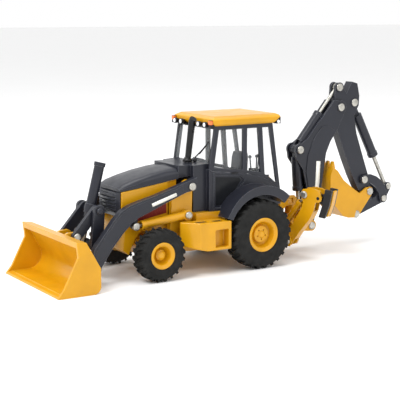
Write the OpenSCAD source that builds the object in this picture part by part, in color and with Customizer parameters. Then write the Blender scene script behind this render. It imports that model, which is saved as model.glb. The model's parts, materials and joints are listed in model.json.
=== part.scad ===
// Toy backhoe loader, 1:50 die-cast construction vehicle.
// X points forward, Y to the left, Z up. Side-view points are [x, z] pairs in millimetres,
// counted from the rear axle; the whole model is then shifted so that its box is centred on X = 0.

/* [Wheels] */
// Distance between the front and rear axles
wheelbase = 42.8; // [42.6:0.1:43]
// Radius of a rear tyre over its lugs
rear_tyre_r = 13.1; // [12.9:0.1:13.1]
// Radius of a front tyre over its lugs
front_tyre_r = 9.75; // [9.6:0.05:9.75]
// Radius of a rear rim flange
rear_rim_r = 6.6; // [6.2:0.1:6.8]
// Radius of a front rim flange
front_rim_r = 5; // [4.6:0.1:5.2]
// Distance from the centre plane to the outer face of a rear tyre
rear_track_half = 21.8; // [21.6:0.1:22]
// Distance from the centre plane to the outer face of a front tyre
front_track_half = 20.5; // [20.4:0.1:20.6]
// Width of a rear tyre
rear_tyre_w = 8.2; // [8:0.1:8.3]
// Width of a front tyre
front_tyre_w = 6.3; // [6:0.1:6.3]

/* [Loader] */
// Overall width of the loader bucket
bucket_w = 46; // [45:0.5:48]
// Thickness of the bucket shell
bucket_wall = 1.1; // [0.9:0.1:1.3]
// Distance from the centre plane to the inner face of a loader arm
arm_inner = 11.3; // [11.2:0.05:11.4]
// Thickness of a loader arm
arm_t = 2.6; // [2.4:0.1:2.6]

/* [Hoe] */
// Distance from the centre plane to the outer face of a boom plate
boom_half = 3.2; // [3.1:0.05:3.3]
// Half thickness of the dipper
dipper_half = 2; // [1.9:0.05:2]
// Overall width of the hoe bucket
hoe_bucket_w = 11.4; // [10.4:0.2:11.8]
// Radius of the hoe cylinder barrels
hoe_barrel_r = 2; // [1.9:0.05:2]

/* [Cab] */
// Height of the top of the roof above the ground
roof_z = 57.5; // [57:0.1:58]
// Half width of the roof
roof_half = 14; // [13.6:0.1:14.4]
// Half width of the cab body
cab_half = 13.2; // [13:0.1:13.3]

/* [Fits] */
// Radial clearance between a pin and the hole that turns on it
fit = 0.08; // [0.05:0.01:0.1]
// Radius of a rivet head on the loader
head_r = 1.45; // [1.3:0.05:1.6]
// Radius of a rivet head on the hoe
hoe_head_r = 1.6; // [1.4:0.05:1.7]
// Height of a rivet head
head_h = 0.7; // [0.5:0.1:0.8]

/* [Hidden] */
$fn = 64;
x_mid = 2.5;              // middle of the object's length, from the rear axle
pin_r = 0.8;              // rivet shank
thin_pin_r = 0.6;         // small pin shank
side_gap = 0.25;          // space between plates that slide past each other
far = 60;                 // longer than any cut needs to be

// Loader pins
rear_axle = [0, rear_tyre_r];
front_axle = [wheelbase, front_tyre_r];
axle_pivot_z = 12.2;
arm_pivot = [26.6, 32.5];
lift_base = [28.4, 22.1];
lift_pin = [49.7, 19.9];
lift_y = 12.6;
lift_rod_len = 17;
lift_barrel_len = 19.2;
tube_pin = [62.5, 13.2];
rocker_top = [61.3, 25.7];
link_ear = [69.4, 16.8];
bucket_hinge = [66.2, 6.2];
tilt_foot = [65.6, 9.2];
rocker_y = [5.9, 7.5];
link_y = [4.0, 5.6];
ear_y = [2.4, 3.7];
lug_y = [8.8, arm_inner - side_gap];

// Hoe pins
swing_x = -28.3;
boom_base = [-36, 10.2];
boom_rod_pin = [-33, 12];
boom_mid = [-30.6, 41.2];
dipper_pin = [-51, 57.3];
crowd_ear = [-50.9, 65.3];
curl_base = [-58.9, 58.8];
guide_pin = [-64.2, 26.6];
bucket_pin = [-67.2, 21.4];
tip_pin = [-75, 17.8];
curl_pin = [-78.4, 22.6];
push_pin = [-60.2, 12.4];
boom_plate = 0.9;
boom_in = boom_half - boom_plate;
plate_y = [boom_in - 0.05, boom_half - 0.05];
cheek_y = [boom_half + side_gap, boom_half + 1.2];
slot_half = 0.95;
eye_half = 0.7;

// Stabilizers: their own plane is turned rearward, u is measured outward in it
stab_root = [-22.5, 8.5];
stab_turn = 118;
stab_pin = [0, 6.5];
stab_base = [-3.2, 12];
stab_top = [6.5, 25.5];
pad_pin = [12.4, 24.4];
stab_barrel_len = 12.6;
stab_rod_len = 13.5;

function heading(a, b) = atan2(b.y - a.y, b.x - a.x);
function arc(c, r, a0, a1, n) = [for (i = [0:n]) c + r * [cos(a0 + (a1 - a0) * i / n),
    sin(a0 + (a1 - a0) * i / n)]];
function toward(a, b, s) = a + s * (b - a) / norm(b - a);

// Moves a shape from the rear-axle frame to the centred frame
module place() {
    translate([-x_mid, 0, 0]) children();
}

module both_sides() {
    children();
    mirror([0, 1, 0]) children();
}

// A side-view outline given thickness from y0 to y1
module slab(points, y0, y1) {
    translate([0, y1, 0]) rotate([90, 0, 0]) linear_extrude(y1 - y0) polygon(points);
}

// A round bar along Y
module bar_y(p, r, y0, y1) {
    translate([p.x, y1, p.y]) rotate([90, 0, 0]) cylinder(r = r, h = y1 - y0);
}

// A flat link between two points with round ends
module strap(a, ra, b, rb, y0, y1) {
    d = (b - a) / norm(b - a);
    n = [-d.y, d.x];
    slab([a + n * ra, a - n * ra, b - n * rb, b + n * rb], y0, y1);
    bar_y(a, ra, y0, y1);
    bar_y(b, rb, y0, y1);
}

// Turns a shape's Z axis along a side-view heading from a point
module along(p, angle, y = 0) {
    translate([p.x, y, p.y]) rotate([0, 90 - angle, 0]) children();
}

module rivet_head(p, y, r) {
    translate([p.x, y, p.y]) rotate([-90, 0, 0]) {
        cylinder(r = r, h = head_h / 2);
        translate([0, 0, head_h / 2]) cylinder(r1 = r, r2 = r * 0.72, h = head_h / 2);
    }
}

// A rivet through the centre plane with a head on each side
module through_rivet(p, half, r = pin_r, head = hoe_head_r) {
    bar_y(p, r, -half, half);
    both_sides() rivet_head(p, half, head);
}

// A hydraulic barrel: base at p, open end at length len, blind bore from floor_at
module barrel(p, angle, r, bore, from, len, floor_at, y = 0) {
    along(p, angle, y) difference() {
        union() {
            translate([0, 0, from]) cylinder(r = r, h = len - from);
            translate([0, 0, len - 1.6]) cylinder(r = r + 0.2, h = 1.6);
        }
        translate([0, 0, floor_at]) cylinder(r = bore, h = far);
    }
}

// ---- Chassis ----

module main_frame() {
    deck_z = 22.4;
    color("gold") place() difference() {
        union() {
            slab([[-16.8, 8], [-12, 7.2], [24, 7.2], [36.2, 8.6], [38.4, 16.9], [45, 16.9],
                [47.4, 14.4], [50, 8.7], [52.4, 10.4], [51.6, 17.6], [52.6, 21],
                [52.6, 32], [30, 35], [30, deck_z], [-16.8, deck_z]], -8, 8);
            slab([[10.8, deck_z], [24.9, deck_z], [24.9, 9.2], [14.2, 9.2]], -14, 14);
            slab([[24.9, 20.1], [34, 20.1], [35.4, 9.4], [24.9, 9.2]], -10.9, 10.9);
        }
        bar_y(rear_axle, 13.9, -far, -8.4);
        bar_y(rear_axle, 13.9, 8.4, far);
        bar_y(rear_axle, 1.5 + fit, -far, far);
        translate([34, 0, axle_pivot_z]) rotate([0, 90, 0]) cylinder(r = 0.9, h = 20);
    }
}

// Cross-section of the hood at one station along X
module hood_slice(x, low, top, half) {
    drop = min(3, (top - low) * 0.6);
    translate([x, 0, 0]) rotate([90, 0, 90]) linear_extrude(0.05) polygon([[-half, low],
        [-half, top - drop], [-half + 0.7, top - drop * 0.5], [-half + 2, top - drop * 0.18],
        [0, top], [half - 2, top - drop * 0.18], [half - 0.7, top - drop * 0.5],
        [half, top - drop], [half, low]]);
}

module engine_hood() {
    stations = [[29.8, 35.1, 39.4, 9], [34.5, 34.5, 39, 9], [40.8, 33.7, 37.9, 9],
        [46.6, 33, 36.5, 9], [51.3, 32.4, 35.1, 8.8], [53.7, 32.1, 33.5, 8.3]];
    color("darkslategray") place() for (i = [0:len(stations) - 2]) hull() {
        hood_slice(stations[i][0], stations[i][1], stations[i][2], stations[i][3]);
        hood_slice(stations[i + 1][0], stations[i + 1][1], stations[i + 1][2], stations[i + 1][3]);
    }
}

module hood_side_panels() {
    color("gold") place() both_sides() difference() {
        slab([[34.2, 19.6], [50.4, 18.6], [53.1, 21.2], [53.1, 31.9],
            [34.2, 34.4]], 8, 8.9);
        // Louvre recess below the loader arm
        slab([[36, 23.4], [49, 21.4], [49.6, 22.6], [36, 26.6]], 8.5, 9.5);
    }
}

module front_grille() {
    color("darkslategray") place() difference() {
        intersection() {
            slab([[52.6, 22.9], [52.6, 31.9], [54.4, 31.7], [55.4, 29], [55.4, 26],
                [53.8, 22.9]], -8, 8);
            linear_extrude(far) polygon([[50, -7.95], [53.4, -7.95], [54.8, -5.6], [55.4, 0],
                [54.8, 5.6], [53.4, 7.95], [50, 7.95]]);
        }
        for (z = [24.4:1.3:31]) translate([54.2, -6.4, z]) cube([4, 12.8, 0.6]);
    }
}

module loader_towers() {
    color("gold") place() both_sides() difference() {
        union() {
            slab([[25, 22.5], [25, 20.2], [33.8, 20.2], [33.6, 28.6], [29, 33.2],
                [24.7, 33.2], [25, 24]], 9, 10.9);
            bar_y(arm_pivot, 2.2, 9, 10.9);
        }
        bar_y(arm_pivot, pin_r, 0, far);
        bar_y(lift_base, pin_r, 0, far);
    }
}

module fuel_tank_step() {
    color("gold") place() difference() {
        tank_body();
        // Step pocket and the two filler recesses on the top
        translate([15.2, 17.6, 10.4]) cube([5.6, far, 6.4]);
        translate([16, 16, 18.9]) cube([4.6, 3.4, 9]);
        translate([22.4, 15.6, 18.9]) cube([5, 3.4, 9]);
    }
}

// Side tank: a front corner cut at a slant, its top and bottom rising to the front
module tank_body() {
    intersection() {
        translate([0, 0, 5]) linear_extrude(20) polygon([[14.1, 14.05], [32.3, 14.05],
            [32.3, 15], [27.4, 21], [14.1, 21]]);
        slab([[14.1, 9.3], [24, 9.3], [32.4, 11.2], [32.4, 20], [14.1, 19.8]], 10, 25);
    }
}

module toolbox_step() {
    color("gold") place() mirror([0, 1, 0]) difference() {
        tank_body();
        // Lid gap round the toolbox
        translate([20, 20.6, 10.6]) cube([0.5, 5, 8]);
        translate([15.2, 20.6, 17.6]) cube([9.6, 5, 0.5]);
    }
}

module exhaust_stack() {
    lean = 7.7;
    pipe = 1.35;
    bend = 2.6;
    straight = 14.4;
    color("black") place() translate([21.4, 2, 40.2]) {
        cylinder(r = 1.9, h = 1);
        rotate([0, -lean, 0]) {
            cylinder(r1 = 1.15, r2 = pipe, h = straight);
            translate([0, bend, straight]) rotate([90, 0, -90]) rotate_extrude(angle = 42)
                translate([bend, 0]) circle(r = pipe);
        }
    }
}

// ---- Cab ----

fender_centre = [-0.6, 14.4];
fender_r = 17.1;
side_outline = [[18.8, 38.3], [16.4, 54], [-9.6, 54], [-13.8, 26.6], [-9.5, 31.2],
    [-5.5, 33.7], [3, 35.7], [17.5, 37.4]];

module cab_shell() {
    floor_z = 24.4;
    color("darkslategray") place() difference() {
        union() {
            difference() {
                slab([[18.8, 22.5], [18.8, 38.2], [17.5, 37.3], [3, 35.6], [-5.5, 33.6],
                    [-9.5, 31.1], [-13.8, 26.5], [-13.8, 22.5]], -cab_half, cab_half);
                // Lower door panel pressed into each side
                both_sides() slab([[16.4, 23.6], [16.4, 35.9], [4.6, 34.7], [3.2, 33],
                    [10.4, 23.6]], cab_half - 0.5, far);
            }
            slab([[17.3, 22.5], [24.4, 22.5], [24.4, 39.8], [18.8, 40.1], [17.3, 40]], -11, 11);
            slab([[24.4, 35.8], [29.6, 35.3], [29.6, 39.9], [24.4, 39.8]], -8.8, 8.8);
            both_sides() slab(concat([[15.6, 20.7]], arc(fender_centre, fender_r, 28, 134, 16),
                [[-11.2, 25.4], [-10.2, 24.4], [-8, 22.5], [8, 22.5], [13.4, 19.9]]), 12.6, 21);
        }
        translate([-6, -12, floor_z]) cube([23.3, 24, far]);
        translate([-12, -12, 30.6]) cube([8, 24, far]);
        // The cab body stands on the frame's deck
        translate([-30, -14.05, 0]) cube([far, 28.1, 22.45]);
        // Wheel arches
        both_sides() bar_y([0, 13.4], 14.8, cab_half, far);
        // Clearance for the loader arms beside the cowl
        both_sides() slab([[19, 0], [40, 0], [40, far], [19, far]], 11, far);
    }
}

module cab_posts() {
    color("darkslategray") place() {
        both_sides() cab_side_frame();
        slab([[16.4, 52.8], [16.3, 53.9], [14.6, 53.9], [14.6, 52.8]], -12.3, 12.3);
        slab([[-9.4, 52.8], [-9.5, 53.9], [-7.9, 53.9], [-7.9, 52.8]], -12.3, 12.3);
    }
}

// One side of the cab frame with its window openings
module cab_side_frame() {
    difference() {
        slab(side_outline, 12.2, cab_half);
        slab([[16.7, 38.6], [14.6, 52.5], [3.9, 52.5], [3.9, 37]], 12, far);
        slab([[2, 36.7], [2, 52.5], [-2.9, 52.5], [-4.3, 35.4]], 12, far);
        slab([[-4.9, 52.5], [-8.1, 52.5], [-11.8, 30.6], [-9, 32.9], [-6.2, 34.6]], 12, far);
    }
}

module cab_glazing() {
    color("lightcyan", 0.4) place() {
        both_sides() slab([[18.1, 39.2], [15.8, 52.6], [-8.6, 52.6], [-11.9, 31.4],
            [-9.2, 33.6], [-5.6, 35], [3, 36.6], [17.2, 38.4]], 11.6, 11.95);
        slab([[18.7, 40.2], [16.7, 52.7], [16.35, 52.7], [18.3, 40.2]], -11.5, 11.5);
        slab([[-13.5, 27.2], [-9.6, 52.7], [-9.95, 52.7], [-13.85, 27.2]], -11.5, 11.5);
    }
}

module cab_roof() {
    color("gold") place() intersection() {
        slab([[16.6, 54], [17.6, 55], [17.6, 56.5], [15.8, roof_z], [-11.6, roof_z],
            [-12.9, 57], [-12.9, 56.4], [-9.9, 54]], -roof_half, roof_half);
        translate([-20, 0, 0]) rotate([90, 0, 90]) linear_extrude(45) polygon([
            [-roof_half + 0.5, 54], [-roof_half, 54.8], [-roof_half, 56.3],
            [-roof_half + 2, roof_z], [roof_half - 2, roof_z], [roof_half, 56.3],
            [roof_half, 54.8], [roof_half - 0.5, 54]]);
    }
}

module lamp(p, r, h) {
    translate(p) rotate([0, 90, 0]) {
        cylinder(r = r * 0.7, h = h);
        translate([0, 0, h * 0.4]) cylinder(r = r, h = h * 0.6);
    }
}

module cab_lamps() {
    color("black") place() {
        for (y = [-10.6, -6.2, 6.2, 10.6]) {
            slab([[16.45, 52.9], [17.2, 52.9], [18.4, 53.7], [18.4, 54.4], [17.75, 54.9],
                [16.6, 53.85], [16.45, 53.85]], y - 0.4, y + 0.4);
            lamp([17.75, y, 54.5], 1.05, 1.8);
        }
        both_sides() {
            slab([[-12.7, 53.7], [-10.6, 53.7], [-10.6, 54.5], [-12.7, 56.2]], 12.2, 14.1);
            slab([[16.65, 53.5], [18.8, 53.5], [18.8, 56.2], [17.65, 56.2], [17.65, 54.9],
                [16.65, 53.85]], 12.3, 13.8);
        }
    }
}

module operator_seat() {
    color("dimgray") place() {
        translate([-2, -3, 24.4]) cube([7, 6, 6.2]);
        hull() {
            translate([-2.6, -4, 30.8]) cube([8.8, 8, 2.2]);
            translate([-2, -3.4, 33]) cube([7.6, 6.8, 0.8]);
        }
        hull() {
            translate([-4.6, -4, 32]) cube([2, 8, 8]);
            translate([-5, -3.2, 40]) cube([1.8, 6.4, 2.4]);
        }
    }
}

module operator_controls() {
    color("dimgray") place() {
        translate([13.2, -5, 24.4]) cube([4, 10, 12]);
        along([13.5, 35], 140) cylinder(r = 0.7, h = 5);
        along(toward([13.5, 35], [12, 36.3], 5.2), 140) rotate_extrude() translate([2.6, 0])
            circle(r = 0.4);
        along(toward([13.5, 35], [12, 36.3], 4.9), 140) cylinder(r = 2.4, h = 0.5);
        translate([-9.8, 4.4, 30.6]) cube([3.6, 3, 4.8]);
        translate([-8.6, 5, 35.4]) cube([1.7, 1.7, 5.6]);
        translate([-9.2, 0.6, 30.6]) cube([2.2, 1.8, 6]);
    }
}

// ---- Wheels ----

module tyre(axle, r, rim, width, outer) {
    bead = rim - 0.7;
    crown = r - 0.8;
    translate([axle.x, outer - width, axle.y]) rotate([-90, 0, 0]) {
        rotate_extrude($fn = 96) polygon([[bead, 0.7], [rim + 0.4, 0.2], [crown - 2, 0],
            [crown - 0.6, 0.8], [crown, 1.8], [crown, width - 1.8], [crown - 0.6, width - 0.8],
            [crown - 2, width], [rim + 0.4, width - 0.2], [bead, width - 0.7]]);
        lugs(r, width);
    }
}

// Two rows of slanting tread bars, half a step apart
module lugs(r, width) {
    count = round(r * 1.6);
    bar = r * 0.13;
    for (i = [0:count - 1]) for (row = [0, 1]) rotate([0, 0, 360 * (i + row / 2) / count])
        translate([r - 1.6, 0, width / 2 + (row * 2 - 1) * width * 0.26])
        rotate([(row * 2 - 1) * -28, 0, 0]) translate([0, -bar / 2, -width * 0.22])
        cube([1.55, bar, width * 0.44]);
}

module rear_tyres() {
    color("black") place() both_sides()
        tyre(rear_axle, rear_tyre_r, rear_rim_r, rear_tyre_w, rear_track_half);
}

module front_tyres() {
    color("black") place() both_sides()
        tyre(front_axle, front_tyre_r, front_rim_r, front_tyre_w, front_track_half);
}

// A dished rim: flange, deep wheel disc and hub
module rim(axle, r, width, outer, hub, bore, holes) {
    bead = r - 0.7;
    translate([axle.x, outer - width, axle.y]) rotate([-90, 0, 0]) difference() {
        rotate_extrude($fn = 96) polygon([[bore, 1.2], [bead - 0.9, 0.9], [bead, 0.7],
            [bead, width - 0.7], [r, width - 0.2], [r - 0.5, width + 0.1],
            [bead - 0.9, width - 0.6], [bead - 1.6, width - 2.9], [hub + 0.4, width - 3.4],
            [hub, width - 1.9], [bore, width - 1.6]]);
        for (i = [0:holes - 1]) rotate([0, 0, 360 * i / holes + 20])
            translate([hub * 0.6, 0, width - 2.4]) cylinder(r = 0.32, h = 2, $fn = 24);
    }
}

module rear_rims() {
    color("gold") place() both_sides()
        rim(rear_axle, rear_rim_r, rear_tyre_w, rear_track_half, 3.1, 1.5, 5);
}

module front_rims() {
    color("gold") place() both_sides()
        rim(front_axle, front_rim_r, front_tyre_w, front_track_half, 1.9, 1.1, 0);
}

// A shaft with a domed end cap outside each hub
module axle_shaft(axle, r, cap_r, half) {
    bar_y(axle, r, -half, half);
    both_sides() translate([axle.x, half, axle.y]) rotate([-90, 0, 0])
        cylinder(r1 = cap_r, r2 = cap_r * 0.6, h = 0.5);
}

module rear_axle_shaft() {
    color("goldenrod") place() axle_shaft(rear_axle, 1.5, 1.5, rear_track_half - 1.6);
}

module front_axle_shaft() {
    color("goldenrod") place() axle_shaft(front_axle, 1.1, 1.6, front_track_half - 1.6);
}

module front_axle_beam() {
    color("goldenrod") place() difference() {
        union() {
            translate([wheelbase - 2.2, -12.6, 7.9]) cube([4.4, 25.2, 3.7]);
            translate([wheelbase - 3.4, 0, axle_pivot_z]) rotate([0, 90, 0])
                cylinder(r = 2, h = 6.8);
            translate([wheelbase - 2.2, -5, 8.4]) cube([4.4, 10, 5]);
        }
        bar_y(front_axle, 1.1 + fit, -far, far);
        translate([wheelbase - 10, 0, axle_pivot_z]) rotate([0, 90, 0])
            cylinder(r = 0.9 + fit, h = 20);
    }
}

// ---- Loader ----

module loader_arms() {
    outline = [[24.6, 35.8], [31.5, 33.6], [41.5, 30.6], [47.8, 29.1], [52.5, 27.8],
        [55.9, 26.1], [59, 23], [62.9, 18.2], [66.7, 13.5], [68.3, 6.6], [64.2, 5.6],
        [64, 6.9], [61.9, 9.9], [59.2, 13.7], [55.3, 18.1], [51.8, 21.5], [49.4, 23],
        [45.5, 24.4], [37.6, 27.5], [29.1, 30.6], [24.7, 31.3]];
    color("darkslategray") place() both_sides() difference() {
        union() {
            slab(outline, arm_inner, arm_inner + arm_t);
            bar_y(bucket_hinge, 2.1, arm_inner, arm_inner + arm_t);
            slab([[48.4, 19.4], [48.5, 23.6], [52.4, 21.4], [51, 19.2]], arm_inner,
                arm_inner + 0.6);
            bar_y(lift_pin, 1.4, arm_inner, arm_inner + 0.6);
        }
        bar_y(arm_pivot, pin_r + fit, 0, far);
        bar_y(bucket_hinge, pin_r + fit, 0, far);
        bar_y(lift_pin, thin_pin_r, 0, far);
    }
}

module loader_cross_tube() {
    bracket = [1, 2.1];
    color("darkslategray") place() {
        both_sides() {
            bar_y(tube_pin, 1.6, bracket[0], arm_inner);
            strap(tube_pin, 1.6, tilt_foot, 1.2, bracket[0], bracket[1]);
        }
        bar_y(tilt_foot, thin_pin_r, -bracket[0], bracket[0]);
        slab([[61, 12], [62.6, 12], [62.6, 14.2], [61, 14.2]], -bracket[0], bracket[0]);
    }
}

module loader_rivets() {
    y0 = arm_inner + 0.6;
    color("silver") place() both_sides() {
        bar_y(lift_pin, thin_pin_r, arm_inner, y0 + 1.4);
        rivet_head(lift_pin, y0 + 1.4, head_r);
    }
}

module lift_barrels() {
    bore = 1.2;
    color("gold") place() both_sides() difference() {
        union() {
            barrel(lift_base, heading(lift_base, lift_pin), 1.5, bore, 0, lift_barrel_len, 2.8,
                lift_y);
            bar_y(lift_base, 1.9, lift_y - 1.4, lift_y + 1.5);
        }
        bar_y(lift_base, pin_r + fit, 0, far);
    }
}

module lift_rods() {
    color("silver") place() both_sides() difference() {
        union() {
            along(lift_pin, heading(lift_pin, lift_base), lift_y) cylinder(r = 0.5,
                h = lift_rod_len);
            bar_y(lift_pin, 1.3, lift_y - 0.45, lift_y + 0.45);
        }
        bar_y(lift_pin, thin_pin_r + fit, 0, far);
    }
}

module loader_rockers() {
    color("darkslategray") place() both_sides() difference() {
        strap(tube_pin, 2.3, rocker_top, 2.15, rocker_y[0], rocker_y[1]);
        bar_y(tube_pin, 1.6 + fit, 0, far);
        bar_y(rocker_top, 0.9 + fit, 0, far);
    }
}

module loader_links() {
    color("darkslategray") place() both_sides() difference() {
        strap(rocker_top, 1.9, link_ear, 1.8, link_y[0], link_y[1]);
        bar_y(rocker_top, 0.9 + fit, 0, far);
        bar_y(link_ear, thin_pin_r + 0.6, 0, far);
    }
}

module tilt_barrel() {
    angle = heading(rocker_top, tilt_foot);
    back = -17;
    front = 3;
    color("darkslategray") place() {
        along(rocker_top, angle) difference() {
            union() {
                translate([0, 0, back]) cylinder(r = 1.85, h = front - back);
                translate([0, 0, back]) cylinder(r = 2.1, h = 1.4);
                translate([0, 0, -1.6]) cylinder(r = 2.2, h = 3.2);
            }
            translate([0, 0, -9]) cylinder(r = 1.15, h = far);
        }
        both_sides() {
            bar_y(rocker_top, 0.9, 1.6, 7.75);
            rivet_head(rocker_top, 7.7, 1.25);
        }
    }
}

module tilt_rod() {
    color("silver") place() difference() {
        union() {
            along(tilt_foot, heading(tilt_foot, rocker_top)) cylinder(r = 0.8, h = 20);
            bar_y(tilt_foot, 1.2, -0.75, 0.75);
        }
        bar_y(tilt_foot, thin_pin_r + fit, -far, far);
    }
}

module loader_bucket() {
    half = bucket_w / 2;
    t = bucket_wall;
    color("gold") place() difference() {
        union() {
            difference() {
                slab([[71, 0], [85, 0], [85, 0.45], [82.9, 2.9], [77.4, 13.4], [78, 18.9],
                    [74.3, 18.5], [68.9, 8.9], [68.9, 2.2], [69.6, 0.8]], -half, half);
                slab(concat([[90, t]], arc([76.4, t + 5.4], 5.4, 270, 180, 10),
                    [[71.4, 8.2], [75.9, 16.7], [90, 17.2]]), -half + t, half - t);
                slab([[83, 0.95], [90, 0.2], [90, t + 1], [83, t + 1]], -half + t, half - t);
            }
            both_sides() {
                slab([[73.9, 17.4], [71.4, 12.8], [68.2, 15.8], [69.4, 18.3], [72, 18.3]],
                    ear_y[0], ear_y[1]);
                bar_y(link_ear, 1.6, ear_y[0], ear_y[1]);
                slab([[69.4, 9.3], [66.2, 8.1], [66.2, 4.3], [69.4, 3]], lug_y[0], lug_y[1]);
                bar_y(bucket_hinge, 1.95, lug_y[0], lug_y[1]);
            }
        }
        both_sides() {
            bar_y(link_ear, thin_pin_r, 0, 10);
            bar_y(bucket_hinge, pin_r, 0, 20);
        }
    }
}

module bucket_rivets() {
    outer = arm_inner + arm_t + 0.05;
    color("silver") place() both_sides() {
        bar_y(link_ear, thin_pin_r, ear_y[0], link_y[1] + 0.1);
        rivet_head(link_ear, link_y[1] + 0.1, head_r);
        bar_y(bucket_hinge, pin_r, lug_y[0], outer);
        rivet_head(bucket_hinge, outer, head_r);
    }
}

// ---- Hoe ----

module rear_frame() {
    color("gold") place() difference() {
        union() {
            translate([-18.6, -8.6, 5.6]) cube([1.8, 17.2, 18.6]);
            for (z = [5.6, 19.3]) translate([0, 0, z]) {
                linear_extrude(2.3) polygon([[-18, -5], [-18, 5], [swing_x, 2.6], [swing_x, -2.6]]);
                translate([swing_x, 0, 0]) cylinder(r = 2.6, h = 2.3);
            }
            both_sides() {
                slab([[-18, 24.2], [-25.6, 23.8], [-26.6, 22.6], [-26.2, 19.8], [-22, 20.2],
                    [-18, 17]], 5.4, 6.5);
                stabilizer_cheeks();
            }
        }
        both_sides() {
            slab([[-22.4, 20.9], [-24.9, 20.9], [-24.9, 22.9], [-22.4, 22.9]], 5, 7);
            in_stab_plane() {
                bar_y(stab_pin, pin_r, -far, far);
                bar_y(stab_base, thin_pin_r, -far, far);
            }
        }
        translate([swing_x, 0, 0]) cylinder(r = 1, h = far);
        translate([-16.8, -far, 0]) cube(2 * far);
    }
}

// Left stabilizer plane: local X is u, local Z is up
module in_stab_plane() {
    translate([stab_root.x, stab_root.y, 0]) rotate([0, 0, stab_turn]) children();
}

module stabilizer_cheeks() {
    in_stab_plane() {
        slab([[-5.2, 4.6], [1.2, 4.6], [1.9, 6.4], [1.2, 8.4], [-1.6, 13.2], [-5.2, 13.6]], 2.9,
            3.7);
        slab([[-7.4, 4.6], [1.2, 4.6], [1.9, 6.4], [1.2, 8.4], [-1.6, 13.2], [-8.4, 13.6]], -3.7,
            -2.9);
        slab([[-5.2, 4.6], [-5.2, 13.6], [-6.2, 13.6], [-6.2, 4.6]], -3.7, 3.7);
    }
}

module chassis_pins() {
    outer = arm_inner + arm_t + 0.05;
    color("silver") place() {
        both_sides() {
            bar_y(arm_pivot, pin_r, 9, outer);
            rivet_head(arm_pivot, outer, head_r + 0.05);
            bar_y(lift_base, pin_r, 9, lift_y + 1.65);
            rivet_head(lift_base, lift_y + 1.65, head_r);
            in_stab_plane() {
                bar_y(stab_pin, pin_r, -3.7, 3.7);
                rivet_head(stab_pin, 3.7, 1.3);
                mirror([0, 1, 0]) rivet_head(stab_pin, 3.7, 1.3);
                bar_y(stab_base, thin_pin_r, -3.7, 3.7);
            }
        }
        translate([swing_x, 0, 4.9]) {
            cylinder(r = 1, h = 17.4);
            cylinder(r = 1.6, h = 0.7);
            translate([0, 0, 16.7]) cylinder(r = 1.6, h = 0.7);
        }
        translate([36.8, 0, axle_pivot_z]) rotate([0, 90, 0]) cylinder(r = 0.9, h = 14.4);
    }
}

module swing_frame() {
    color("gold") place() difference() {
        union() {
            translate([swing_x, 0, 8.2]) cylinder(r = 2.2, h = 10.8);
            slab([[-29.8, 8.2], [-31, 8.2], [-31, 19], [-29.8, 19]], -2.2, 2.2);
            slab([[-31.9, 14.6], [-31.9, 9], [-30, 8.4], [-30, 18.6]], -2.2, -1.4);
            slab([[-31.9, 14.6], [-31.9, 9], [-30, 8.4], [-30, 18.6]], 1.4, 2.2);
            both_sides() {
                slab([[-31.2, 17.6], [-31.2, 8.6], [-33.4, 8.2], [-36, 8], [-38, 9.2],
                    [-38, 11.2], [-36, 12.6], [-34, 14]], cheek_y[0], cheek_y[1]);
                slab([[-30, 18.6], [-31.2, 17.6], [-31.2, 8.6], [-30, 8.4]], 1.4, cheek_y[1]);
                bar_y(boom_base, 2.2, cheek_y[0], cheek_y[1]);
            }
        }
        bar_y(boom_base, pin_r, -far, far);
        bar_y(boom_rod_pin, thin_pin_r, -far, far);
        translate([swing_x, 0, 0]) cylinder(r = 1 + fit, h = far);
    }
}

module swing_rivets() {
    color("silver") place() {
        through_rivet(boom_base, cheek_y[1]);
        bar_y(boom_rod_pin, thin_pin_r, -cheek_y[1], cheek_y[1]);
    }
}

module boom() {
    outline = [[-34.3, 9.6], [-37.6, 9.4], [-39.4, 17], [-41.6, 25.5], [-42.6, 32.4],
        [-43.7, 39.1], [-45.8, 43.7], [-49.3, 48.4], [-53.2, 55.8], [-52.8, 59],
        [-49.6, 60.2], [-47.4, 60.2], [-43.5, 55.7], [-40.1, 52.3], [-36.6, 48.4],
        [-34.1, 45.4], [-31, 43.5], [-28.4, 40.6], [-28.9, 37.6], [-32.1, 33.2],
        [-34.2, 25.8]];
    color("darkslategray") place() difference() {
        union() {
            both_sides() {
                slab(outline, plate_y[0], plate_y[1]);
                bar_y(boom_base, 1.8, plate_y[0], plate_y[1]);
                bar_y(dipper_pin, 2.7, plate_y[0], plate_y[1]);
                bar_y(boom_mid, 2.4, plate_y[0], plate_y[1]);
            }
            slab([[-38.7, 14], [-39.4, 17], [-41.6, 25.5], [-42.6, 32.4], [-43.7, 39.1],
                [-45.8, 43.7], [-47, 45.4], [-46.2, 46], [-44.9, 44.2], [-42.7, 39.3],
                [-41.6, 32.6], [-40.6, 25.7], [-38.4, 17.2], [-37.8, 14.4]], -plate_y[1],
                plate_y[1]);
        }
        bar_y(boom_base, pin_r + fit, -far, far);
        bar_y(boom_mid, pin_r, -far, far);
        bar_y(dipper_pin, pin_r, -far, far);
    }
}

module boom_rivets() {
    color("silver") place() {
        through_rivet(boom_mid, plate_y[1]);
        through_rivet(dipper_pin, plate_y[1]);
    }
}

module boom_barrel() {
    angle = heading(boom_mid, boom_rod_pin);
    color("darkslategray") place() difference() {
        union() {
            barrel(boom_mid, angle, hoe_barrel_r, 1.6, 3, 16.8, 4.4);
            along(boom_mid, angle) translate([-1.2, -0.85, 0]) cube([2.4, 1.7, 3.4]);
            bar_y(boom_mid, 1.8, -0.85, 0.85);
        }
        bar_y(boom_mid, pin_r + fit, -far, far);
    }
}

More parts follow.
